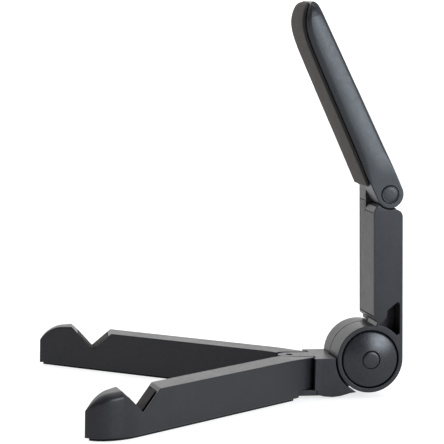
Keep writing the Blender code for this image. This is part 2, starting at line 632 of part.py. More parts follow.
def upper_arm(mats):
    up = Matrix.Rotation(LEAN, 4, "X") @ Vector((0.0, *UPPER_PIVOT))
    pivot = empty("upper_axis", HUB + up, (UPPER_LEAN, 0.0, 0.0))
    axis = (0.0, 0.0, 0.0)
    near_face = SEAM_X + GAP / 2
    body = prism("upper_arm", upper_outline(), -HALF, HALF, group=parts)
    tools = [cylinder("tab_room", axis, UPPER_CLEAR_R, -HALF - MM, near_face)]
    tools.append(box("below_tab_room", (-HALF - MM, -12 * MM, -12 * MM), (near_face, 12 * MM, 0.0)))
    tools.append(cylinder("upper_bore", axis, BOLT_R + GAP, -5 * MM, HALF + MM, segments=32))
    tools.append(cylinder("upper_head_seat", axis, UPPER_PIN_R + GAP, HALF - 3.2 * MM, HALF + MM, segments=40))
    tools.append(cylinder("upper_spring_seat", axis, 4.6 * MM, -3 * MM, SEAM_X + 1.9 * MM, segments=32))
    for tool in tools:
        tool.parent = pivot
        cut(body, tool)
    finish(body, mats["shell"], pivot)

    grip = prism("upper_arm_grip", grip_strip_outline(), -GRIP_HALF, GRIP_HALF, group=parts)
    finish(grip, mats["rubber"], pivot)

    pin = cylinder("upper_pivot_pin", axis, BOLT_R, -11.0 * MM, HALF - 2.4 * MM, group=parts, segments=32)
    head = cylinder("upper_pin_head", axis, UPPER_PIN_R, HALF - 2.8 * MM, HALF + 0.3 * MM, segments=40)
    head.parent = pivot
    join(pin, head)
    finish(pin, mats["shell"], pivot)
    nut = cylinder("upper_pivot_nut", axis, 4.5 * MM, -11.4 * MM, -8.7 * MM, group=parts, segments=6)
    bore = cylinder("upper_nut_bore", axis, BOLT_R + 0.25 * MM, -13 * MM, -7 * MM, segments=32)
    bore.parent = pivot
    cut(nut, bore)
    finish(nut, mats["steel"], pivot, smooth=False)
    low = SEAM_X + 0.2 * MM
    inner, outer, sheet = BOLT_R + 0.4 * MM, 4.2 * MM, 0.5 * MM
    cone = [(low, outer), (low + sheet, outer), (low + sheet + 0.7 * MM, inner), (low + 0.7 * MM, inner)]
    spring = turned("upper_cone_spring", cone, axis)
    finish(spring, mats["spring"], pivot)


def build():
    start_scene()
    mats = make_materials()
    base_block(mats)
    foot_pad(mats)
    leg_pivot(mats)
    hub_hardware(mats)
    hub_cap(mats)
    leg("leg_right", 1, mats)
    leg("leg_left", -1, mats)
    lower_arm(mats)
    upper_arm(mats)
    bpy.context.view_layer.update()


build()
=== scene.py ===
import json
import math

import bmesh
import bpy
from mathutils import Matrix, Vector
from mathutils.geometry import tessellate_polygon


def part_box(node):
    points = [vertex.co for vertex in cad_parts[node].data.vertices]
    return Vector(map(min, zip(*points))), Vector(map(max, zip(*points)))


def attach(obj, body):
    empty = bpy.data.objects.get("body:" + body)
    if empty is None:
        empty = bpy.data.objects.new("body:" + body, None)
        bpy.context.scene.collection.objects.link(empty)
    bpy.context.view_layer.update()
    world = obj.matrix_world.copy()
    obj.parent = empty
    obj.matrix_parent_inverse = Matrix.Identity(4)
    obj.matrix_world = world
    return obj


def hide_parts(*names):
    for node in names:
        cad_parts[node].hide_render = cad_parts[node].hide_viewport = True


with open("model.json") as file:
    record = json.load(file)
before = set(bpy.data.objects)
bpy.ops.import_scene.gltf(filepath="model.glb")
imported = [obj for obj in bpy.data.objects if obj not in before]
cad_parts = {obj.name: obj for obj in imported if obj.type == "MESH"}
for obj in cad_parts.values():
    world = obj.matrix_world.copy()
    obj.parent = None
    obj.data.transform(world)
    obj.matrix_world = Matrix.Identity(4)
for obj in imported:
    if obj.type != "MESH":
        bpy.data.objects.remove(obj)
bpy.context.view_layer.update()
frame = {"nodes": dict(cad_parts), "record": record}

MM = 0.001                         # parts are drawn in millimetres, and placed in metres
GAP = 0.3                          # clearance round a part that is let in
JOINTS = {joint["name"]: joint for joint in frame["record"]["behaviour"]["joints"]}
HUB = Vector(JOINTS["hub_fold"]["pos_m"])
UPPER_AXIS = Vector(JOINTS["upper_arm_tilt"]["pos_m"])
LEG_AXIS = Vector(JOINTS["leg_right_swing"]["pos_m"])
PIVOT_Y = LEG_AXIS.y / MM
OPENED = {name: JOINTS[name + "_swing"]["range_deg"][1] for name in ("leg_right", "leg_left")}
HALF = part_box("base_block")[1][0] / MM
SEAM = -1.8                        # X of the seam between the near and far halves of the arm and hub
LEAN = math.radians(1.7)           # the arms lean forward from upright
UPPER_LEAN = math.radians(26.2)
UPPER_PIVOT = (9.75, 78.15)        # from the hub axis in the lower arm: back, up

# ------------------------------------------------------------------ camera, light and floor

CAMERA_AT = HUB + Vector((0.8963, -0.2611, 0.1714))
CAMERA_TURN = (-math.radians(12.02), -math.radians(6.67), math.radians(1.14))
FOCAL_IN_FRAMES = 4.439            # focal length as a multiple of the picture's width
SENSOR_MM = 36.0
DARK_END = Vector((0.92, -0.36, 0.12))
BRIGHT_LEVEL, DARK_LEVEL = 1.55, 0.1
COOL_WHITE = (0.82, 0.91, 1.0)


def add_camera():
    yaw, pitch, roll = CAMERA_TURN
    look = Vector((-math.cos(yaw) * math.cos(pitch), -math.sin(yaw) * math.cos(pitch), math.sin(pitch)))
    right = Vector((-math.sin(yaw), math.cos(yaw), 0.0))
    up = right.cross(look)
    turned_right = math.cos(roll) * right + math.sin(roll) * up
    turned_up = -math.sin(roll) * right + math.cos(roll) * up
    data = bpy.data.cameras.new("camera")
    data.sensor_width = SENSOR_MM
    data.lens = SENSOR_MM * FOCAL_IN_FRAMES
    data.clip_end = 10.0
    camera = bpy.data.objects.new("camera", data)
    turn = Matrix((turned_right, turned_up, -look)).transposed()
    camera.matrix_world = Matrix.Translation(CAMERA_AT) @ turn.to_4x4()
    bpy.context.scene.collection.objects.link(camera)
    bpy.context.scene.camera = camera


def add_area_light(name, location, aim, size, power, colour=(1.0, 1.0, 1.0)):
    data = bpy.data.lights.new(name, "AREA")
    data.shape = "RECTANGLE"
    data.size, data.size_y = size
    data.energy = power
    data.color = colour
    light = bpy.data.objects.new(name, data)
    light.location = location
    light.rotation_euler = (Vector(aim) - Vector(location)).to_track_quat("-Z", "Y").to_euler()
    bpy.context.scene.collection.objects.link(light)


def add_world():
    """White paper all round, dimmer towards the dark end of the room."""
    world = bpy.data.worlds.new("studio")
    world.use_nodes = True
    tree = world.node_tree
    background = tree.nodes["Background"]
    background.inputs["Strength"].default_value = 1.0
    direction = tree.nodes.new("ShaderNodeTexCoord")
    dark_end = tree.nodes.new("ShaderNodeVectorMath")
    dark_end.operation = "DOT_PRODUCT"
    dark_end.inputs[1].default_value = DARK_END.normalized()
    tree.links.new(direction.outputs["Generated"], dark_end.inputs[0])
    fade = tree.nodes.new("ShaderNodeMapRange")
    fade.interpolation_type = "SMOOTHSTEP"
    fade.inputs["From Min"].default_value = -0.75
    fade.inputs["From Max"].default_value = 0.95
    fade.inputs["To Min"].default_value = BRIGHT_LEVEL
    fade.inputs["To Max"].default_value = DARK_LEVEL
    tree.links.new(dark_end.outputs["Value"], fade.inputs["Value"])
    grey = tree.nodes.new("ShaderNodeCombineColor")
    for channel in grey.inputs:
        tree.links.new(fade.outputs["Result"], channel)
    tree.links.new(grey.outputs["Color"], background.inputs["Color"])
    bpy.context.scene.world = world
    bpy.context.scene.view_settings.view_transform = "Standard"


def add_floor():
    mesh = bpy.data.meshes.new("floor")
    bm = bmesh.new()
    bmesh.ops.create_grid(bm, x_segments=1, y_segments=1, size=3.0)
    bm.to_mesh(mesh)
    bm.free()
    floor = bpy.data.objects.new("floor", mesh)
    bpy.context.scene.collection.objects.link(floor)
    mat = bpy.data.materials.new("floor_paper")
    mat.use_nodes = True
    paper = mat.node_tree.nodes["Principled BSDF"]
    paper.inputs["Base Color"].default_value = (0.5, 0.5, 0.5, 1)
    paper.inputs["Roughness"].default_value = 0.95
    paper.inputs["Specular IOR Level"].default_value = 0.1
    paper.inputs["Emission Color"].default_value = (1, 1, 1, 1)
    paper.inputs["Emission Strength"].default_value = 0.7
    mesh.materials.append(mat)


# ------------------------------------------------------------------ materials

class Graph:
    """A material's node tree, with short calls for the nodes used here."""

    def __init__(self, name):
        self.material = bpy.data.materials.new(name)
        self.material.use_nodes = True
        self.tree = self.material.node_tree
        self.shader = self.tree.nodes["Principled BSDF"]
        self.place = self.tree.nodes.new("ShaderNodeTexCoord").outputs["Object"]

    def node(self, kind, links=(), **values):
        made = self.tree.nodes.new("ShaderNode" + kind)
        for key, value in values.items():
            if key in made.inputs.keys():
                made.inputs[key].default_value = value
            else:
                setattr(made, key, value)
        for key, source in dict(links).items():
            self.tree.links.new(source, made.inputs[key])
        return made

    def noise(self, scale, detail, roughness, stretch=None):
        place = self.place
        if stretch is not None:
            mapping = self.node("Mapping", {"Vector": place}, Scale=stretch)
            place = mapping.outputs["Vector"]
        values = {"Scale": scale, "Detail": detail, "Roughness": roughness}
        return self.node("TexNoise", {"Vector": place}, **values).outputs["Fac"]

    def span(self, source, low, high, from_low=0.3, from_high=0.7):
        values = {"From Min": from_low, "From Max": from_high, "To Min": low, "To Max": high}
        ranged = self.node("MapRange", {"Value": source})
        for key, value in values.items():
            ranged.inputs[key].default_value = value
        return ranged.outputs["Result"]

    def mix(self, amount, a, b):
        """Colour mix; amount, a and b are sockets or values."""
        mixer = self.node("Mix", data_type="RGBA", blend_type="MIX")
        for index, value in ((0, amount), (6, a), (7, b)):
            if isinstance(value, bpy.types.NodeSocket):
                self.tree.links.new(value, mixer.inputs[index])
            else:
                mixer.inputs[index].default_value = value
        return mixer.outputs[2]

    def bump(self, height, strength, distance, under=None):
        links = {"Height": height}
        if under is not None:
            links["Normal"] = under
        return self.node("Bump", links, Strength=strength, Distance=distance).outputs["Normal"]

    def maths(self, operation, a, b=None):
        """One sum; a is a socket, and b a socket, a value or left out."""
        made = self.node("Math", {0: a}, operation=operation)
        if isinstance(b, bpy.types.NodeSocket):
            self.tree.links.new(b, made.inputs[1])
        elif b is not None:
            made.inputs[1].default_value = b
        return made.outputs["Value"]

    def edges(self):
        """1 on outer edges, 0 on flats and inner corners."""
        pointed = self.node("NewGeometry").outputs["Pointiness"]
        return self.span(pointed, 0.0, 1.0, 0.52, 0.62)

    def use(self, name, socket):
        self.tree.links.new(socket, self.shader.inputs[name])


def rgb(colour, gain=1.0):
    return (*[min(1.0, channel * gain) for channel in colour], 1.0)


def plastic(name, dark, light, roughness, depth=0.10, wear=0.25, specular=0.24):
    """Moulded plastic: mottled colour, fine spark-eroded grain, slightly polished and paler edges."""
    g = Graph(name)
    broad = g.noise(38.0, 4.0, 0.6)
    mottle = g.noise(420.0, 3.0, 0.6)
    fine = g.noise(2400.0, 2.0, 0.6)
    colour = g.mix(g.span(broad, 0.0, 1.0), rgb(dark), rgb(light))
    colour = g.mix(g.span(mottle, 0.0, 0.35), colour, rgb(light, 1.35))
    worn = g.maths("MULTIPLY", g.edges(), g.span(mottle, 0.2, 1.0))
    colour = g.mix(g.maths("MULTIPLY", worn, wear), colour, rgb(light, 3.0))
    g.use("Base Color", colour)
    patches = g.span(broad, roughness - 0.035, roughness + 0.035)
    g.use("Roughness", g.maths("ADD", patches, g.span(mottle, -0.03, 0.03)))
    height = g.bump(fine, depth, 0.00012)
    g.use("Normal", g.bump(mottle, depth * 0.5, 0.0003, height))
    g.shader.inputs["Specular IOR Level"].default_value = specular
    return g.material


def rubber(name, dark, light, roughness=0.72, depth=0.25):
    """Soft pad: matt, finely pitted, with a faint bloom of dust, and painted shade on faces turned sideways,
    standing in for the shadowed gap beside the pad.
    """
    g = Graph(name)
    broad = g.noise(60.0, 4.0, 0.6)
    pits = g.noise(1500.0, 3.0, 0.65)
    dust = g.noise(260.0, 5.0, 0.7)
    colour = g.mix(g.span(broad, 0.0, 1.0), rgb(dark), rgb(light))
    colour = g.mix(g.span(dust, 0.0, 0.4, 0.45, 0.75), colour, rgb(light, 1.5))
    # Painted shade: faces turned sideways are darkened to near black, standing in for the shadow in the gap
    # beside the pad.
    sideways_for_painted_shade = g.node("SeparateXYZ", {"Vector": g.node("NewGeometry").outputs["Normal"]}).outputs["X"]
    colour = g.mix(g.span(g.maths("ABSOLUTE", sideways_for_painted_shade), 0.0, 1.0, 0.8, 0.97), colour, rgb(dark, 0.2))
    g.use("Base Color", colour)
    g.use("Roughness", g.span(dust, roughness - 0.06, roughness + 0.08))
    g.use("Normal", g.bump(dust, depth * 0.4, 0.0004, g.bump(pits, depth, 0.00016)))
    g.shader.inputs["Specular IOR Level"].default_value = 0.16
    return g.material


def metal(name, colour, roughness, stretch=(1.0, 1.0, 1.0)):
    """Turned or pressed steel with fine lines and duller patches."""
    g = Graph(name)
    lines = g.noise(900.0, 4.0, 0.6, stretch)
    patches = g.noise(140.0, 4.0, 0.6)
    tint = g.mix(g.span(patches, 0.0, 1.0), rgb(colour, 0.75), rgb(colour))
    tint = g.mix(g.edges(), tint, rgb(colour, 1.3))
    g.use("Base Color", tint)
    g.use("Roughness", g.span(patches, roughness - 0.07, roughness + 0.12))
    g.use("Normal", g.bump(lines, 0.2, 0.00008))
    g.shader.inputs["Metallic"].default_value = 1.0
    return g.material


def make_materials():
    return {
        "shell": plastic("charcoal_shell", (0.0105, 0.0105, 0.0128), (0.0155, 0.0153, 0.0185), 0.36),
        "arm": plastic("charcoal_arm", (0.011, 0.0125, 0.0155), (0.0155, 0.0175, 0.021), 0.37,
                       wear=0.06, specular=0.3),
        "cap": plastic("charcoal_cap", (0.0095, 0.0096, 0.012), (0.0135, 0.0136, 0.0165), 0.28,
                       depth=0.08, wear=0.15, specular=0.3),
        "cover": plastic("charcoal_cover", (0.013, 0.013, 0.013), (0.018, 0.018, 0.0175), 0.34,
                         wear=0.2, specular=0.13),
        "grip": rubber("grip_rubber", (0.038, 0.033, 0.030), (0.052, 0.046, 0.042)),
        "notch_pad": rubber("notch_pad_rubber", (0.020, 0.0165, 0.0155), (0.028, 0.024, 0.022), depth=0.4),
        "sole": rubber("sole_rubber", (0.006, 0.006, 0.006), (0.010, 0.010, 0.010), 0.8),
        "steel": metal("plated_steel", (0.58, 0.58, 0.6), 0.3, (1.0, 12.0, 12.0)),
        "black_steel": metal("blackened_steel", (0.05, 0.05, 0.052), 0.38),
        "spring": metal("spring_steel", (0.36, 0.35, 0.35), 0.36, (8.0, 1.0, 1.0)),
        "nylon": plastic("natural_nylon", (0.50, 0.49, 0.44), (0.60, 0.59, 0.54), 0.45, wear=0.0),
    }


# ------------------------------------------------------------------ outlines, in millimetres

def arc(centre, radius, start, end, count=16):
    step = math.radians(end - start) / count
    first = math.radians(start)
    return [(centre[0] + radius * math.cos(first + i * step),
             centre[1] + radius * math.sin(first + i * step)) for i in range(count + 1)]


def rounded(corners, steps=4):
    """A closed outline; corners with a third number are rounded to that radius."""
    points = []
    count = len(corners)
    for i, corner in enumerate(corners):
        here = Vector(corner[:2])
        if len(corner) < 3:
            points.append(tuple(here))
            continue
        back = Vector(corners[i - 1][:2]) - here
        ahead = Vector(corners[(i + 1) % count][:2]) - here
        half = back.angle(ahead) / 2
        reach = min(corner[2] / math.tan(half), back.length * 0.9, ahead.length * 0.9)
        radius = reach * math.tan(half)
        centre = here + (back.normalized() + ahead.normalized()).normalized() * (radius / math.sin(half))
        first = here + back.normalized() * reach - centre
        last = here + ahead.normalized() * reach - centre
        turn = first.angle_signed(last)
        for k in range(steps + 1):
            points.append(tuple(centre + Matrix.Rotation(-turn * k / steps, 2) @ first))
    return points


def circle(centre, radius, count):
    return arc(centre, radius, 0, 360 - 360 / count, count - 1)


def area_of(points):
    """Positive when the points run anticlockwise."""
    return sum(a[0] * b[1] - b[0] * a[1] for a, b in zip(points, points[1:] + points[:1])) / 2


def anticlockwise(points):
    return points if area_of(points) > 0 else points[::-1]


MITRE_LIMIT = 0.45


def inset(points, distance):
    """The outline moved to its left by distance, mitred up to a limit."""
    moved = []
    count = len(points)
    for i in range(count):
        here = Vector(points[i])
        back = here - Vector(points[i - 1])
        ahead = Vector(points[(i + 1) % count]) - here
        if back.length < 1e-9 or ahead.length < 1e-9:
            moved.append(tuple(here))
            continue
        left_a = Vector((-back.y, back.x)).normalized()
        left_b = Vector((-ahead.y, ahead.x)).normalized()
        middle = left_a + left_b
        if middle.length < 0.2:
            moved.append(tuple(here + left_a * distance))
            continue
        middle.normalize()
        moved.append(tuple(here + middle * (distance / max(MITRE_LIMIT, middle.dot(left_a)))))
    return moved


# ------------------------------------------------------------------ meshes

YZ = Matrix(((0, 0, 1, 0), (1, 0, 0, 0), (0, 1, 0, 0), (0, 0, 0, 1)))       # outline in YZ, run along X
XZ = Matrix(((1, 0, 0, 0), (0, 0, 1, 0), (0, 1, 0, 0), (0, 0, 0, 1)))       # outline in XZ, run along Y
SCALE = Matrix.Diagonal((MM, MM, MM, 1.0))
SQUARE, LOW_RIM, HIGH_RIM, BOTH_RIMS = (False, False), (True, False), (False, True), (True, True)
RIM_STEPS = 3


def at(origin=(0, 0, 0), lean=0.0):
    return Matrix.Translation(origin) @ Matrix.Rotation(lean, 4, "X") @ SCALE


def extrude(outer, low, high, place, holes=(), rim=0.35, rims=BOTH_RIMS):
    """A solid of an outline with holes, run from low to high, its rims rounded over."""
    loops = [list(outer)] + [list(hole) for hole in holes]
    for i, loop in enumerate(loops):
        if (area_of(loop) > 0) != (i == 0):
            loop.reverse()
    quarter = [math.radians(90.0 * k / RIM_STEPS) for k in range(RIM_STEPS + 1)]
    rounding = [(rim * (1 - math.sin(a)), rim * (1 - math.cos(a))) for a in quarter]
    levels = [(d, low + h) for d, h in rounding] if rims[0] else [(0.0, low)]
    levels += [(d, high - h) for d, h in reversed(rounding)] if rims[1] else [(0.0, high)]
    bm = bmesh.new()
    caps = ([], [])
    for loop in loops:
        rows = []
        for distance, height in levels:
            shape = inset(loop, distance) if distance else loop
            rows.append([bm.verts.new(place @ Vector((u, v, height))) for u, v in shape])
        for a, b in zip(rows, rows[1:]):
            for i in range(len(a)):
                bm.faces.new((a[i - 1], a[i], b[i], b[i - 1]))
        caps[0].append(rows[0])
        caps[1].append(rows[-1])
    for cap, (distance, _) in zip(caps, (levels[0], levels[-1])):
        shapes = [inset(loop, distance) if distance else loop for loop in loops]
        verts = [vert for row in cap for vert in row]
        for triangle in tessellate_polygon([[Vector((*p, 0.0)) for p in shape] for shape in shapes]):
            corners = [verts[i] for i in triangle]
            if bm.faces.get(corners) is None:
                bm.faces.new(corners)
    return close(bm)


def close(bm):
    """Welds the parts of a solid, turns its faces outwards and hands over the mesh."""
    bmesh.ops.remove_doubles(bm, verts=bm.verts, dist=1e-7)
    bmesh.ops.recalc_face_normals(bm, faces=bm.faces)
    if bm.calc_volume(signed=True) < 0:
        bmesh.ops.reverse_faces(bm, faces=bm.faces)
    mesh = bpy.data.meshes.new("shape")
    bm.to_mesh(mesh)
    bm.free()
    return mesh


def loft(rings):
    """A solid through closed rings of points with the same count."""
    bm = bmesh.new()
    rows = [[bm.verts.new(p) for p in ring] for ring in rings]
    for a, b in zip(rows, rows[1:]):
        for i in range(len(a)):
            bm.faces.new((a[i - 1], a[i], b[i], b[i - 1]))
    bm.faces.new(rows[0])
    bm.faces.new(rows[-1])
    return close(bm)


def lathe(profile, place, segments=96):
    """Turned about the run axis of place from (height, radius) pairs, closed on the axis or on itself."""
    bm = bmesh.new()
    ring_shaped = all(radius > 0 for _, radius in profile)
    rows = []
    for height, radius in profile:
        if radius == 0:
            rows.append([bm.verts.new(place @ Vector((0, 0, height)))])
        else:
            turns = [math.tau * k / segments for k in range(segments)]
            ring = [Vector((radius * math.cos(a), radius * math.sin(a), height)) for a in turns]
            rows.append([bm.verts.new(place @ point) for point in ring])
    pairs = list(zip(rows, rows[1:])) + ([(rows[-1], rows[0])] if ring_shaped else [])
    for a, b in pairs:
        for i in range(segments):
            if len(a) == 1:
                bm.faces.new((a[0], b[i], b[i - 1]))
            elif len(b) == 1:
                bm.faces.new((a[i - 1], a[i], b[0]))
            else:
                bm.faces.new((a[i - 1], a[i], b[i], b[i - 1]))
    return close(bm)


def edge_round(height, radius, size, steps=4):
    """Profile points that round the outer edge of a turned face at height."""
    return [(height - size * (1 - math.sin(a)), radius - size * (1 - math.cos(a)))
            for a in (math.radians(90.0 * k / steps) for k in range(steps + 1))]


def turned_rod(low, high, radius):
    return [(low, 0), (low, radius), (high, radius), (high, 0)]


def turned_ring(low, high, inner, outer):
    return [(low, inner), (low, outer), (high, outer), (high, inner)]


def subtract(mesh, *tools):
    """The mesh with the tools cut out of it, one after another."""
    ob = bpy.data.objects.new("work", mesh)
    bpy.context.scene.collection.objects.link(ob)
    helpers = []
    for tool in tools:
        helper = bpy.data.objects.new("tool", tool)
        bpy.context.scene.collection.objects.link(helper)
        modifier = ob.modifiers.new("cut", "BOOLEAN")
        modifier.solver = "EXACT"
        modifier.object = helper
        helpers.append(helper)
    bpy.context.view_layer.update()
    result = bpy.data.meshes.new_from_object(ob.evaluated_get(bpy.context.evaluated_depsgraph_get()))
    for helper in [ob] + helpers:
        bpy.data.objects.remove(helper, do_unlink=True)
    return result


def piece(name, meshes, mat, body, nodes, sharp=38.0):
    """Joins meshes into one visible piece that stands for CAD nodes and rides on their body."""
    bm = bmesh.new()
    for mesh in meshes:
        bm.from_mesh(mesh)
    joined = bpy.data.meshes.new(name)
    bm.to_mesh(joined)
    bm.free()
    joined.materials.clear()
    joined.materials.append(mat)
    joined.shade_smooth()
    joined.set_sharp_from_angle(angle=math.radians(sharp))
    ob = bpy.data.objects.new(name, joined)
    bpy.context.scene.collection.objects.link(ob)
    weighted = ob.modifiers.new("normals", "WEIGHTED_NORMAL")
    weighted.keep_sharp = True
    weighted.weight = 80
    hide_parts(*nodes)
    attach(ob, body)


def smooth(x, low, high):
    """Rises from 0 at low to 1 at high, level at both."""
    t = min(1.0, max(0.0, (x - low) / (high - low)))
    return t * t * (3 - 2 * t)


def section(low_p, high_p, low_q, high_q, radii, sides, steps):
    """A rounded rectangle as (p, q) points, from the low corner round by way of high p."""
    limit = 0.46 * min(high_p - low_p, high_q - low_q)
    r = [min(radius, limit) for radius in radii]
    centres = [(low_p + r[0], low_q + r[0]), (high_p - r[1], low_q + r[1]),
               (high_p - r[2], high_q - r[2]), (low_p + r[3], high_q - r[3])]
    points = []
    for k in range(4):
        corner = arc(centres[k], r[k], 180 + 90 * k, 270 + 90 * k, steps)
        points += corner
        after = centres[(k + 1) % 4]
        angle = math.radians(270 + 90 * k)
        last = corner[-1]
        radius = r[(k + 1) % 4]
        following = (after[0] + radius * math.cos(angle), after[1] + radius * math.sin(angle))
        for j in range(1, sides[k]):
            f = j / sides[k]
            points.append((last[0] + (following[0] - last[0]) * f,
                           last[1] + (following[1] - last[1]) * f))
    return points


# ------------------------------------------------------------------ base block and hub
# Outlines in YZ are measured from the hub axis, back and up; outlines in XY from the world's origin.

HUB_R = 16.0
BLOCK_TOP = 19.1
BLOCK_FRONT, BLOCK_TOP_UP, FRONT_FOOT_UP = -25.4, 0.7, -16.8
BLOCK_FACE = HUB.y / MM + BLOCK_FRONT
UNDERSIDE = [(-24.0, -16.9), (-22.0, -17.4, 3.0), (-18.0, -17.75, 5.0), (-14.4, -17.4, 3.0),
             (-12.0, -16.8, 3.0), (-9.6, -16.1, 3.0), (-7.6, -15.8)]
TOE = (-6.3, -15.65)
CLEARANCE_R = 16.85                # hollow face of the block round the arm's ring
FAR_SEAT_R, FAR_SEAT_DEPTH = 10.3, 1.5
FRICTION_SEAT_X = -3.2
FLANGE_R = 5.5                     # round ends of the top tongue and the low plate
FLANGE_ROOT = BLOCK_FACE + 0.8
TONGUE_T = 2.6
PLATE_LOW, PLATE_HIGH, PLATE_HALF, PLATE_REACH = 1.4, 4.2, 12.4, 10.6
HORN_INNER, HORN_TIP, HORN_REACH = 8.6, 10.6, 1.4
FOOT_HALF_X, FOOT_HALF_Y, FOOT_HIGH = 8.0, 2.8, 1.9
BORE_R = 1.8                       # leg pivot


def block_halves():
    """The near half with its toe, the far half with the hub's drum, and the floor of its cap seat."""
    hub = at(HUB) @ YZ
    front = [(BLOCK_FRONT, BLOCK_TOP_UP, 0.3), (BLOCK_FRONT, FRONT_FOOT_UP, 0.4)] + UNDERSIDE
    near = rounded(front + [TOE] + arc((0, 0), CLEARANCE_R, 245.8, 177.6, 40))
    far = rounded(front + arc((0, 0), HUB_R, 260.0, 537.5, 96))
    seat = circle((0, 0), FAR_SEAT_R, 72)
    return [extrude(near, SEAM - 0.2, HALF, hub, rim=0.15, rims=HIGH_RIM),
            extrude(far, -HALF, SEAM - 0.4, hub, holes=[seat], rims=LOW_RIM),
            lathe(turned_ring(-HALF + FAR_SEAT_DEPTH, FRICTION_SEAT_X, 5.0, FAR_SEAT_R + 0.05), hub)]


def block_flanges():
    """Tongue and plate that hold the leg pivot, and the two front corners beside the heels."""
    axis = (0, PIVOT_Y)
    tongue = [(FLANGE_R, FLANGE_ROOT)] + arc(axis, FLANGE_R, 0, -180, 30) + [(-FLANGE_R, FLANGE_ROOT)]
    tongue_low, tongue_high = BLOCK_TOP - TONGUE_T, BLOCK_TOP - 0.02
    low_end = FLANGE_ROOT - PLATE_REACH
    right = [(PLATE_HALF, FLANGE_ROOT), (PLATE_HALF, low_end, 1.2), (FLANGE_R, low_end)]
    left = [(-FLANGE_R, low_end), (-PLATE_HALF, low_end, 1.2), (-PLATE_HALF, FLANGE_ROOT)]
    plate = rounded(right + arc(axis, FLANGE_R, -10, -170, 30) + left)
    meshes = [extrude(tongue, tongue_low, tongue_high, at(), holes=[circle(axis, 1.6, 36)], rim=0.3),
              extrude(plate, PLATE_LOW, PLATE_HIGH, at(), holes=[circle(axis, BORE_R, 36)], rim=0.3)]
    front, back, outer = BLOCK_FACE - HORN_REACH, BLOCK_FACE + 1.6, HALF + 0.02
    for side in (1, -1):
        horn = rounded([(side * HORN_INNER, back), (side * HORN_INNER, BLOCK_FACE),
                        (side * HORN_TIP, front, 0.4), (side * outer, front, 0.35), (side * outer, back)])
        meshes.append(extrude(horn, 4.0, BLOCK_TOP, at(), rim=0.1, rims=HIGH_RIM))
    return meshes


def base_block(mats):
    meshes = block_halves() + block_flanges()
    piece("block_shell", meshes, mats["shell"], "base", ["base_block"])

    corners = ((-1, -1), (1, -1), (1, 1), (-1, 1))
    pad = rounded([(x * FOOT_HALF_X, y * FOOT_HALF_Y, 1.0) for x, y in corners])
    foot = extrude(pad, 0.0, FOOT_HIGH, at(), rim=0.4)
    piece("foot_pad_rubber", [foot], mats["sole"], "base", ["foot_pad"])

    pivot = at(Vector((0, LEG_AXIS.y, 0)))
    rivet = [(1.5, 0.0), (1.5, 2.3), (1.8, 2.6), (2.2, 2.6), (2.2, 1.5)] + edge_round(18.4, 1.4, 0.4)
    pin = lathe(rivet + [(18.3, 0.0)], pivot, 40)
    piece("leg_pivot_pin", [pin], mats["black_steel"], "base", ["leg_pivot_rivet"])


CAP_R, CAP_DOME, CAP_WALL, CAP_RIM_DEPTH, CAP_EDGE = 13.4, 2.2, 1.6, 2.6, 0.55
CAP_RIM_X = HALF - 0.2
CAP_HOLE_R, CAP_TOP_FROM, CAP_TOP_STEPS = 4.45, 4.6, 26
PLUG_R, PLUG_X, PLUG_FOOT_R, PLUG_PROUD = 4.05, 11.7, 5.0, 0.08
FAR_DISC_X = -HALF + 0.1


def dome_x(radius, lift=0.0):
    """X of the cap's dome at a radius."""
    return CAP_RIM_X + CAP_DOME * (1 - (radius / CAP_R) ** 2) + lift


def hub_parts(mats):
    hub = at(HUB) @ YZ
    edge = [(CAP_RIM_X - CAP_RIM_DEPTH, 13.3), (CAP_RIM_X - 0.75, CAP_R), (CAP_RIM_X - 0.4, 13.34),
            (CAP_RIM_X - 0.12, 13.18), (CAP_RIM_X + 0.06, 13.02)]
    first = CAP_R - CAP_EDGE
    radii = [first - k * (first - CAP_TOP_FROM) / CAP_TOP_STEPS for k in range(CAP_TOP_STEPS + 1)]
    top = [(dome_x(r), r) for r in radii]
    hole = [(dome_x(CAP_HOLE_R, -0.02), CAP_HOLE_R), (dome_x(4.4, -0.12), 4.36),
            (dome_x(4.4, -CAP_WALL), 4.35)]
    under = [(dome_x(r, -CAP_WALL), r) for r in (6.0, 8.0, 10.0, 11.8)] + [(CAP_RIM_X - CAP_RIM_DEPTH, 11.8)]
    cap = lathe(edge + top + hole + under, hub, 144)
    piece("hub_cap_dome", [cap], mats["cap"], "hub_cap", ["hub_cap"])

    foot = [(PLUG_X, 0.0), (PLUG_X, PLUG_FOOT_R), (12.6, PLUG_FOOT_R), (12.6, PLUG_R)]
    side = [(dome_x(PLUG_R, -0.25), PLUG_R), (dome_x(PLUG_R, -0.05), 3.95)]
    crown = [(dome_x(r, PLUG_PROUD), r) for r in (3.7, 3.0, 2.2, 1.4, 0.7, 0.0)]
    plug = lathe(foot + side + crown, hub, 72)
    piece("hub_plug_face", [plug], mats["cap"], "base", ["hub_pin_plug"])

    rim = [(FAR_DISC_X + 1.1, 0.0), (FAR_DISC_X + 1.1, 10.0), (FAR_DISC_X + 0.4, 10.0),
           (FAR_DISC_X + 0.1, 9.85), (FAR_DISC_X, 9.5)]
    dish = [(FAR_DISC_X + 0.25 * smooth(9.0 - r, 0.0, 0.6), r) for r in (9.0, 8.8, 8.6, 8.4)]
    disc = lathe(rim + dish + [(FAR_DISC_X + 0.25, 4.0), (FAR_DISC_X + 0.25, 0.0)], hub, 96)
    piece("hub_far_disc", [disc], mats["cap"], "base", ["hub_far_cap"])


# ------------------------------------------------------------------ legs
# A leg is measured from its pivot: s along it, t outwards across it, z up from the floor.

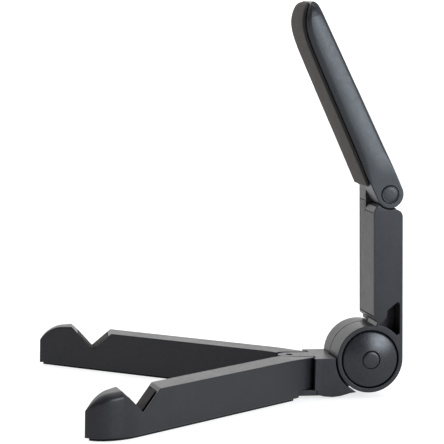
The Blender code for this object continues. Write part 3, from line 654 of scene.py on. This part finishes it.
NOTCH_SKEW = math.tan(math.radians(32.0))       # the notch runs across the leg at a slant
SKEW_FROM, SKEW_TO = 55, 92                     # the slant grows between these
LEG_T, INNER = 12.9, 0.2                        # outer and inner face
LEG_TOP, LEG_BOTTOM = 19.5, 1.1
LEG_LENGTH, TIP_SWEEP = 138.9, 20.0
SWEEP_START = LEG_LENGTH - TIP_SWEEP
ROOT_R, ROOT_DROP = 10.6, 0.4
V_REAR, V_LOW, V_FRONT = (97.4, LEG_TOP), (107.9, 10.5), (118.5, 19.42)
NOSE_CENTRE, NOSE_R = (124.3, 2.8), 17.6
NOSE_RIDGE = (120.2, 20.85)                     # crest in front of the notch
HEEL = [(-12.0, 4.5), (-4.4, 0.9), (-3.6, 0.4), (-2.0, 0.12), (0.0, 0.03), (4.0, 0.0)]      # (s, fall)
HEEL_BACK = 10.7                                # from the pivot to the back of the opened leg
HEEL_CUT_S, HEEL_CUT_Z = 8.3, 4.5
KNUCKLES = {"leg_right": (11.4, 16.2), "leg_left": (4.5, 10.4)}
KNUCKLE_R, KNUCKLE_ROOM_R = 5.4, 5.9
TOP_ROOM_R, TOP_ROOM_Z = 6.7, 16.2              # room for the tongue above the knuckles
TROUGH, PAD = (0.8, 12.0), (1.1, 9.9)           # t of the notch's trough and of its lining
SOLE_ROOT, SOLE_EDGE, SOLE_REACH, SOLE_WIDTH, SOLE_HIGH = 10.5, 0.7, 19.3, 11.6, 2.0
OVER = 24                                       # above everything


def leg_outer(s, opened):
    """Distance of the outer face from the pivot plane at s along the leg."""
    if s >= LEG_LENGTH:
        return INNER - (s - LEG_LENGTH) * 4
    if s > SWEEP_START:
        return INNER + (LEG_T - INNER) * math.sqrt(1 - ((s - LEG_LENGTH + TIP_SWEEP) / TIP_SWEEP) ** 2)
    if s >= HEEL[-1][0]:
        return LEG_T
    turn = math.radians(opened)
    back = (HEEL_BACK + s * math.cos(turn)) / math.sin(turn)
    for (s0, d0), (s1, d1) in zip(HEEL, HEEL[1:]):
        if s0 <= s < s1:
            return min(back, LEG_T - (d0 + (d1 - d0) * (s - s0) / (s1 - s0)))
    return back


def leg_inner(s, root_s, root_t):
    """Distance of the inner face from the pivot plane; it runs out to the root point behind the pivot."""
    return INNER if s >= INNER else INNER + (INNER - s) * (root_t - INNER) / (INNER - root_s)


def leg_profile():
    """Top line of the leg from root to tip, with rounded ridges and notch."""
    nose_start = math.degrees(math.acos((NOSE_RIDGE[0] + 6.0 - NOSE_CENTRE[0]) / NOSE_R))
    end = math.degrees(math.acos((LEG_LENGTH - NOSE_CENTRE[0]) / NOSE_R))
    nose = arc(NOSE_CENTRE, NOSE_R, nose_start, end, 22)
    notch = [(*V_REAR, 1.3), (*V_LOW, 0.35), (*NOSE_RIDGE, 0.9)]
    below = [(LEG_LENGTH, -40), (-20, -40)]
    return rounded([(-20, LEG_TOP)] + notch + nose + below)[:-len(below)]


def top_at(profile, s):
    for (s0, z0), (s1, z1) in zip(profile, profile[1:]):
        if s0 <= s <= s1:
            return z0 + (z1 - z0) * (s - s0) / max(1e-9, s1 - s0)
    return profile[-1][1]


def leg_stations(root_s, profile):
    """Places of the cross-sections: close together at the root, round the notch and along the nose."""
    stations = [root_s + 0.02 + k * 0.55 for k in range(22)] + [4.0, 6.0, 8.0]
    stations += [10 + 4 * k for k in range(22)]
    stations += [V_REAR[0] + k * 1.4 for k in range(15)]
    stations += [s for s, _ in profile if s > 90]
    stations += [SWEEP_START + TIP_SWEEP * math.sin(math.radians(a)) for a in range(3, 90, 3)]
    stations += [LEG_LENGTH - 0.003]
    kept = []
    for s in sorted(stations):
        if not kept or s - kept[-1] > 0.02:
            kept.append(s)
    return kept


def outer_along(s, skew, opened):
    """Where a slanted section that starts at s meets the outer face."""
    low, high = 0.0, LEG_T + 1
    for _ in range(40):
        middle = (low + high) / 2
        if middle < leg_outer(s + middle * skew, opened):
            low = middle
        else:
            high = middle
    return low


def leg_body(opened):
    """Rings of the solid leg before anything is cut out of it."""
    root_angle = math.radians(180 - opened - 1.5)
    root_s, root_t = ROOT_R * math.cos(root_angle), ROOT_R * math.sin(root_angle)
    profile = leg_profile()
    rings = []
    for s in leg_stations(root_s, profile):
        skew = NOTCH_SKEW * smooth(s, SKEW_FROM, SKEW_TO)
        outer = max(outer_along(s, skew, opened), INNER + 0.12)
        inner = min(leg_inner(s, root_s, root_t), outer - 0.1)
        top = top_at(profile, s) - ROOT_DROP * (1 - smooth(s, -1.0, 14.0))
        nose = smooth(s, 115.5, 121.0)
        radii = (0.35, 0.45, 0.5 + 2.6 * nose, 0.4 + 0.5 * nose)
        ring = section(inner, outer, LEG_BOTTOM, top, radii, (3, 5, 6, 4), 5)
        rings.append([(s + t * skew, t, z) for t, z in ring])
    return rings


def slope_band(low, high, rear_part, front_part):
    """A V-shaped band from low to high over the notch's slopes, and part of the way up each."""
    base = Vector(V_LOW)
    rear = Vector(V_REAR) - base
    front = Vector(V_FRONT) - base
    rise = 1 / math.sin(front.angle(rear) / 2)
    rear_out = Vector((rear.y, -rear.x)).normalized()
    front_out = Vector((-front.y, front.x)).normalized()
    corners = [base + Vector((0, low * rise)), base + front * front_part + front_out * low,
               base + front * front_part + front_out * high, base + Vector((0, high * rise)),
               base + rear * rear_part + rear_out * high, base + rear * rear_part + rear_out * low]
    return [tuple(c) for c in corners]


def sole_outline():
    turns = [math.radians(a) for a in range(87, -1, -3)]
    sweep = [(SWEEP_START + SOLE_REACH * math.sin(a), SOLE_EDGE + SOLE_WIDTH * math.cos(a)) for a in turns]
    inner_side = [(SOLE_ROOT, SOLE_EDGE, 1.0), (SWEEP_START, SOLE_EDGE)]
    return rounded(inner_side + sweep + [(SOLE_ROOT, SOLE_EDGE + SOLE_WIDTH, 1.0)])


def leg(name, side, mats):
    opened = OPENED[name]
    turn = Matrix(((0, side, 0, 0), (-1, 0, 0, 0), (0, 0, 1, 0), (0, 0, 0, 1)))      # (s, t, z) to (x, y, z)
    pivot = Matrix.Translation(Vector((0, LEG_AXIS.y, 0)))
    upright = pivot @ SCALE
    place = pivot @ Matrix.Rotation(side * math.radians(opened), 4, "Z") @ SCALE @ turn
    slanted = place @ Matrix(((1, 0, NOTCH_SKEW, 0), (0, 0, 1, 0), (0, 1, 0, 0), (0, 0, 0, 1)))
    body = loft([[place @ Vector(p) for p in ring] for ring in leg_body(opened)])
    low, high = KNUCKLES[name]
    heel = [(-16, -20), (HEEL_CUT_S, -20), (HEEL_CUT_S, 20), (-16, 20)]
    top_room = arc((0, 0), TOP_ROOM_R, 180, 360, 32) + [(TOP_ROOM_R, 16), (-TOP_ROOM_R, 16)]
    sole = sole_outline()
    tools = [extrude(slope_band(-1.0, 3.0, 0.85, 0.83), *TROUGH, slanted, rims=SQUARE),
             lathe(turned_rod(0, low, KNUCKLE_ROOM_R), upright, 64),
             lathe(turned_rod(high, OVER, KNUCKLE_ROOM_R), upright, 64),
             lathe(turned_rod(-1, OVER, BORE_R), upright, 32),
             extrude(heel, 0.0, HEEL_CUT_Z, place, rims=SQUARE),
             extrude(top_room, TOP_ROOM_Z, OVER, upright, rims=SQUARE),
             extrude(sole, -1.0, SOLE_HIGH + GAP, place, rims=SQUARE)]
    knuckle = lathe(turned_ring(low, high, BORE_R, KNUCKLE_R), upright, 64)
    shell = [subtract(body, *tools), knuckle]
    piece(name + "_shell", shell, mats["shell"], name, [name], 32.0)

    band = slope_band(GAP - 1.0, 0.25, 0.82, 0.8)
    radii = (0.3, None, 0.4, 0.3, 0.4, None)
    band = rounded([(*corner, radius) if radius else corner for corner, radius in zip(band, radii)])
    pad = extrude(band, *PAD, slanted, rim=0.3)
    piece(name + "_notch_pad", [pad], mats["notch_pad"], name, [name + "_grip"])
    strip = extrude(inset(anticlockwise(sole), GAP), 0.0, SOLE_HIGH, place, rim=0.35)
    piece(name + "_sole_strip", [strip], mats["sole"], name, [name + "_sole"])


# ------------------------------------------------------------------ lower arm
# Outlines are measured from the hub axis in the leaning arm: back, up.

ARM_FRONT, ARM_BACK = 2.0, 16.0
COVER_LOW, COVER_NEAR, COVER_FAR = 19.9, 69.6, 74.2      # foot and two-step top of the recess
COVER_T = 1.7
RECESS = ARM_FRONT + 1.9
SIDE_WALL = 0.9                    # beside the recess
STEP_X = SEAM - 1.35               # where the recess steps up
POCKET_R, POCKET_FLOOR_R, TAB_HOLE_R = 13.9, 14.2, 4.9
BOLT_HOLE_R = 2.7
SCREWS = {"lower": 30.0, "upper": 58.0}


def window():
    """The opening above the hub in the near half."""
    low_edge = arc((0, 0), 17.0, 74, 41, 12)
    corners = [(14.2, 11.6, 0.4), (14.45, 12.4, 0.4), (14.45, 25.6, 0.4), (14.0, 26.7, 0.5),
               (13.2, 26.6, 0.5), (8.5, 22.9, 0.7), (8.2, 19.6, 0.7)]
    return rounded(low_edge + corners)


def arm_front(top, recess_top):
    """Front line of the arm from the neck up, stepped back where the cover lies."""
    neck = [(3.6, 17.6, 0.4), (2.3, 18.5, 0.3), (ARM_FRONT, 19.5)]
    if recess_top is not None:
        neck += [(ARM_FRONT, COVER_LOW), (RECESS, COVER_LOW), (RECESS, recess_top), (ARM_FRONT, recess_top)]
    return neck + top


def near_half(low, high, recess_top, rims):
    """A slice of the half with the ring round the hub."""
    ring = arc((0, 0), HUB_R, 0, -280, 110)
    ledge = [(ARM_FRONT, 70.6, 0.4), (3.0, 72.4, 0.5)]
    hollow = arc(UPPER_PIVOT, 7.1, 222, 292, 20)
    shoulder = arc((12.4, 67.3), 3.6, 80, 0, 12)
    outline = rounded(ring + arm_front(ledge, recess_top) + hollow + shoulder)
    pocket = circle((0, 0), POCKET_R, 144)
    return extrude(outline, low, high, at(HUB, LEAN) @ YZ, holes=[pocket, window()], rims=rims)


def far_half(low, high, recess_top, rims):
    """A slice of the half with the tab that carries the upper pivot."""
    under = arc((0, 0), 16.45, 14.1, 77.4, 20)
    tab = [(ARM_FRONT, 80.7, 0.4), (2.9, 81.6, 0.6)]
    crown = arc(UPPER_PIVOT, 6.25, 110, 0, 20)
    outline = rounded(under + arm_front(tab, recess_top) + crown)
    hole = circle(UPPER_PIVOT, TAB_HOLE_R, 72)
    return extrude(outline, low, high, at(HUB, LEAN) @ YZ, holes=[hole], rims=rims)


def lower_arm_shell():
    hub = at(HUB, LEAN) @ YZ
    near_wall, far_wall = HALF - SIDE_WALL, -HALF + SIDE_WALL
    front, back = RECESS + 0.02, ARM_BACK - 0.01
    web = [(front, 20.2), (front, 69.0), (back, 66.8), (back, 17.5), (6.0, 17.5)]
    window_floor = inset(anticlockwise(window()), -0.3)
    tab = hub @ Matrix.Translation((*UPPER_PIVOT, 0))
    return [near_half(near_wall, HALF, None, HIGH_RIM),
            near_half(SEAM + 0.3, near_wall, COVER_NEAR, SQUARE),
            far_half(-HALF, far_wall, None, LOW_RIM),
            far_half(far_wall, STEP_X, COVER_FAR, SQUARE),
            far_half(STEP_X, SEAM - 0.15, COVER_NEAR, SQUARE),
            extrude(web, SEAM - 0.4, SEAM + 0.4, hub, rims=SQUARE),
            lathe(turned_ring(SEAM + 0.2, 5.5, BOLT_HOLE_R, POCKET_FLOOR_R), hub, 96),
            extrude(window_floor, SEAM + 0.2, 3.0, hub, rims=SQUARE),
            lathe(turned_ring(-8.4, SEAM - 0.2, BOLT_HOLE_R, 5.1), tab, 64)]


def front_cover():
    """The strip let into the arm's front, with a step at its top."""
    wide = HALF - SIDE_WALL - GAP
    step = STEP_X - GAP
    low, near_top, far_top = COVER_LOW + GAP, COVER_NEAR - GAP, COVER_FAR - GAP
    strip = rounded([(-wide, low, 0.3), (wide, low, 0.3), (wide, near_top, 0.3),
                     (step, near_top, 0.2), (step, far_top, 0.3), (-wide, far_top, 0.3)])
    return extrude(strip, ARM_FRONT, ARM_FRONT + COVER_T, at(HUB, LEAN) @ XZ, rim=0.28)


def back_screw(height):
    """A crossed screw head behind the arm, at a height above the hub."""
    local = at(HUB, LEAN) @ Matrix.Translation((0, 0, height)) @ XZ
    shank = [(2.8, 0.0), (2.8, 1.0), (14.1, 1.0)]
    head = [(14.1, 1.9), (14.6, 2.0), (15.2, 1.7), (15.45, 1.1), (15.5, 0.0)]
    bar = [(-1.3, -0.22), (1.3, -0.22), (1.3, 0.22), (-1.3, 0.22)]
    crossed = [bar, [(v, u) for u, v in bar]]
    cuts = [extrude(slot, 14.7, 16.5, local, rims=SQUARE) for slot in crossed]
    return subtract(lathe(shank + head, local, 40), *cuts)


def lower_arm(mats):
    piece("lower_arm_shell", lower_arm_shell(), mats["shell"], "lower_arm", ["lower_arm"])
    cover = front_cover()
    piece("front_cover_strip", [cover], mats["cover"], "lower_arm", ["lower_arm_cover"])
    for label, height in SCREWS.items():
        screw = back_screw(height)
        piece("back_screw_" + label, [screw], mats["black_steel"], "lower_arm",
              ["cover_screw_" + label])


# ------------------------------------------------------------------ upper arm
# Measured from the upper pivot in the tilted arm: u back, v up, x across.

FRONT_LINE = [(-6.6, 0.0), (-6.55, 6.0), (-6.05, 30.0), (-5.5, 62.0), (-5.2, 76.0), (-4.8, 82.0),
              (-4.1, 86.6), (-2.9, 90.2), (-1.2, 93.0), (0.9, 95.3), (3.0, 96.8), (4.3, 97.3)]
BACK_LINE = [(6.6, 0.0), (6.75, 6.0), (7.05, 18.0), (6.9, 40.0), (6.45, 86.0), (6.3, 93.6),
             (6.0, 95.6), (5.2, 97.0), (4.5, 97.3)]
END_R, TIP = 6.6, 97.3             # round lower end and height of the tip
TIP_ROUND_FROM, TIP_NARROWING = 89.6, 3.0
CROWN_FALL, CROWN_SHIFT = 0.6, 2.4 # fall of the sides, and how far ahead of the middle they are fullest
GRIP_HALF, GRIP_T, GRIP_CROWN = 11.3, 1.35, 0.12
GRIP_END, GRIP_END_NARROWING = 11.0, 5.2
CUT_R, HEAD_SEAT_R, HEAD_SEAT_DEPTH = 8.8, 4.4, 3.2
PIN_R, NUT_R, NUT_HOLE_R = 2.4, 4.5, 2.65
PAST = 14                          # beyond the arm on the far side


def along(line, v):
    """u of a line at height v, on a smooth curve through its points."""
    if v <= line[0][1]:
        return line[0][0]
    for i in range(len(line) - 1):
        (u0, v0), (u1, v1) = line[i], line[i + 1]
        if v <= v1:
            before = line[max(i - 1, 0)]
            after = line[min(i + 2, len(line) - 1)]
            t = (v - v0) / (v1 - v0)
            m0 = (u1 - before[0]) / max(1e-6, v1 - before[1]) * (v1 - v0)
            m1 = (after[0] - u0) / max(1e-6, after[1] - v0) * (v1 - v0)
            steep = 3 * abs(u1 - u0)
            m0 = max(-steep, min(steep, m0))
            m1 = max(-steep, min(steep, m1))
            return ((2 * t ** 3 - 3 * t ** 2 + 1) * u0 + (t ** 3 - 2 * t ** 2 + t) * m0
                    + (3 * t ** 2 - 2 * t ** 3) * u1 + (t ** 3 - t ** 2) * m1)
    return line[-1][0]


def arm_rings():
    """Cross-sections of the solid arm from its round lower end to the tip."""
    heights = [-END_R * math.cos(math.radians(a)) for a in range(2, 91, 4)]
    heights += [2, 4, 6, 8, 10, 12, 14, 17, 20] + [24 + 4 * k for k in range(15)]
    heights += [81.5 + 0.75 * k for k in range(14)]
    heights += [TIP - 4.6 * (1 - math.sin(math.radians(a))) for a in range(4, 91, 5)]
    rings = []
    for v in heights:
        if v < 0:
            back = math.sqrt(END_R ** 2 - v * v)
            front = -back
        else:
            front, back = along(FRONT_LINE, v), along(BACK_LINE, v)
        back = max(back, front + 0.15)
        past = max(0.0, (v - TIP_ROUND_FROM) / (TIP - TIP_ROUND_FROM + 0.02))
        half = HALF - TIP_NARROWING * (1 - math.sqrt(max(0.0, 1 - past ** 2)))
        grown = smooth(v, 6.0, 22.0)
        front_r, back_r = 0.5 + 1.8 * grown, 0.5 + 0.9 * grown
        middle, width = (front + back) / 2 - CROWN_SHIFT, (back - front) / 2
        ring = []
        for u, x in section(front, back, -half, half, (front_r, back_r, back_r, front_r), (12, 6, 12, 6), 5):
            fall = CROWN_FALL * grown * min(1.4, abs((u - middle) / max(width, 0.1))) ** 2
            ring.append((u, v, x - math.copysign(fall * min(1.0, abs(x) / half), x)))
        rings.append(ring)
    return rings


def grip_rings():
    """Rubber strip down the front of the arm and over its tip, as rings square to the front line."""
    heights = [7.8, 8.0, 8.4] + [10 + 4 * k for k in range(18)] + [81 + 0.8 * k for k in range(15)]
    heights += [93.2 + 0.45 * k for k in range(7)] + [96.3, 96.7, 97.0]
    path = [Vector((along(FRONT_LINE, v), v)) for v in heights]
    length = [0.0]
    for a, b in zip(path, path[1:]):
        length.append(length[-1] + (b - a).length)
    rings = []
    for i, here in enumerate(path):
        ahead = path[min(i + 1, len(path) - 1)] - path[max(i - 1, 0)]
        out = Vector((-ahead.y, ahead.x)).normalized()
        left = (length[-1] - length[i]) / GRIP_END
        end = max(0.0, 1 - left)
        half = GRIP_HALF - GRIP_END_NARROWING * (1 - math.sqrt(max(0.0, 1 - end ** 2)))
        thick = GRIP_T * (1 - 0.75 * max(0.0, 1 - left * 4) ** 2) * (0.8 if i == 0 else 1.0)
        ring = []
        for x, d in section(-half, half, GAP, GAP + thick, (0.15, 0.15, 0.5, 0.5), (8, 1, 14, 1), 4):
            d += GRIP_CROWN * (1 - (x / half) ** 2) if d > GAP + 0.8 else 0.0
            point = here + out * d
            ring.append((point.x, point.y, x))
        rings.append(ring)
    return rings


def upper_arm_shell(place):
    """The arm, cut back on its far side round the lower arm's tab, bored, and sunk for the pivot's head."""
    body = loft([[place @ Vector(p) for p in ring] for ring in arm_rings()])
    tab_room = SEAM + 0.15
    below = [(-12, -12), (12, -12), (12, 0), (-12, 0)]
    return subtract(body,
                    lathe(turned_rod(-PAST, tab_room, CUT_R), place, 96),
                    extrude(below, -PAST, tab_room, place, rims=SQUARE),
                    lathe(turned_rod(-PAST, HALF + 1, BOLT_HOLE_R), place, 40),
                    lathe(turned_rod(HALF - HEAD_SEAT_DEPTH, HALF + 1, HEAD_SEAT_R), place, 72))


def upper_arm(mats):
    place = at(UPPER_AXIS, UPPER_LEAN) @ YZ
    shell = upper_arm_shell(place)
    piece("upper_arm_shell", [shell], mats["arm"], "upper_arm", ["upper_arm"], 36.0)
    strip = loft([[place @ Vector(p) for p in ring] for ring in grip_rings()])
    piece("upper_arm_rubber", [strip], mats["grip"], "upper_arm", ["upper_arm_grip"], 50.0)

    shank = [(-11.0, 0.0), (-11.0, PIN_R), (HALF - 2.8, PIN_R), (HALF - 2.8, 4.0), (HALF - 0.2, 4.05)]
    rim = [(HALF + 0.12, 3.98), (HALF + 0.24, 3.82), (HALF + 0.24, 3.62), (HALF + 0.14, 3.45)]
    dish = [(HALF + 0.02, 3.3), (HALF + 0.08, 2.6), (HALF + 0.1, 1.4), (HALF + 0.1, 0.0)]
    head = lathe(shank + rim + dish, place, 72)
    piece("upper_pivot_head", [head], mats["cap"], "lower_arm", ["upper_pivot_pin"])

    hexagon = circle((0, 0), NUT_R, 6)
    nut = extrude(hexagon, -11.4, -8.7, place, holes=[circle((0, 0), NUT_HOLE_R, 24)], rim=0.35)
    piece("upper_hex_nut", [nut], mats["steel"], "lower_arm", ["upper_pivot_nut"])


# ------------------------------------------------------------------ assembly

def repaint_frame(mats):
    """The pieces inside the joints keep their CAD shape and get their own finish."""
    inside = {"hub_bolt": "steel", "hub_nut": "steel", "hub_thrust_washer": "steel",
              "hub_cone_spring": "spring", "upper_cone_spring": "spring",
              "hub_friction_disc": "nylon", "leg_pivot_washer": "nylon"}
    for name, finish in inside.items():
        node = frame["nodes"][name]
        for material_slot in node.material_slots:
            material_slot.material = mats[finish]


add_camera()
add_world()
add_area_light("top_soft", (0.0, 0.1, 0.9), (0, 0, 0.05), (0.7, 0.7), 1.5)
add_area_light("side_soft", (0.88, 0.50, 0.25), (0, 0.02, 0.1), (0.44, 0.36), 9.0, COOL_WHITE)
add_floor()
materials = make_materials()
base_block(materials)
hub_parts(materials)
leg("leg_right", 1, materials)
leg("leg_left", -1, materials)
lower_arm(materials)
upper_arm(materials)
repaint_frame(materials)
